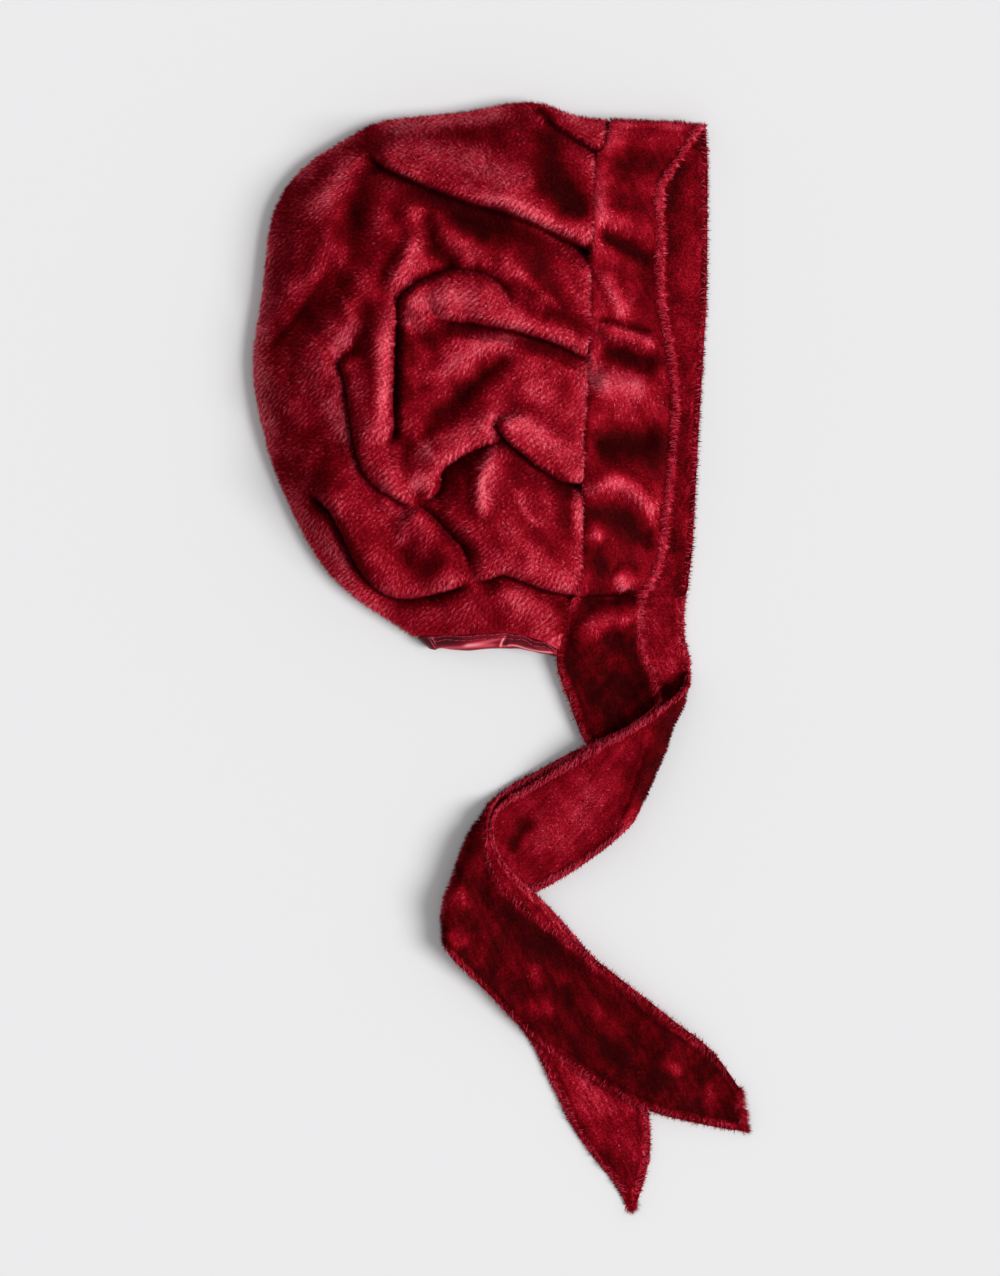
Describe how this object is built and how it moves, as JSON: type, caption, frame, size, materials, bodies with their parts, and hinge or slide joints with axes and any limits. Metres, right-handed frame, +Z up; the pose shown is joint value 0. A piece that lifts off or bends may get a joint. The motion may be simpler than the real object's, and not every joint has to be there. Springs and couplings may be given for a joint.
{
  "type": "hair drying cap with ties",
  "caption": "Soft plush bonnet for drying hair: a gathered crown, a turned-back band round the face, a satin-bound nape and two long ties, lying on its side.",
  "frame": {"origin": "middle of the bonnet's box, on the surface that it lies on", "axes": "+X out of the face opening, +Y towards the top of the head, +Z up from the surface"},
  "size_m": [0.2472, 0.5516, 0.0412],
  "materials": {
    "crown_plush": "deep crimson velour with a short brushed pile",
    "band_plush": "deep crimson velour with a short brushed pile, overlocked hem",
    "tie_plush": "deep crimson velour, pile on one face, overlocked hems",
    "nape_satin": "crimson satin, smooth and glossy"
  },
  "bodies": {
    "root": {"crown": "crown_plush", "band": "band_plush", "near_tie": "tie_plush", "far_tie": "tie_plush", "nape_binding": "nape_satin"}
  },
  "joints": []
}
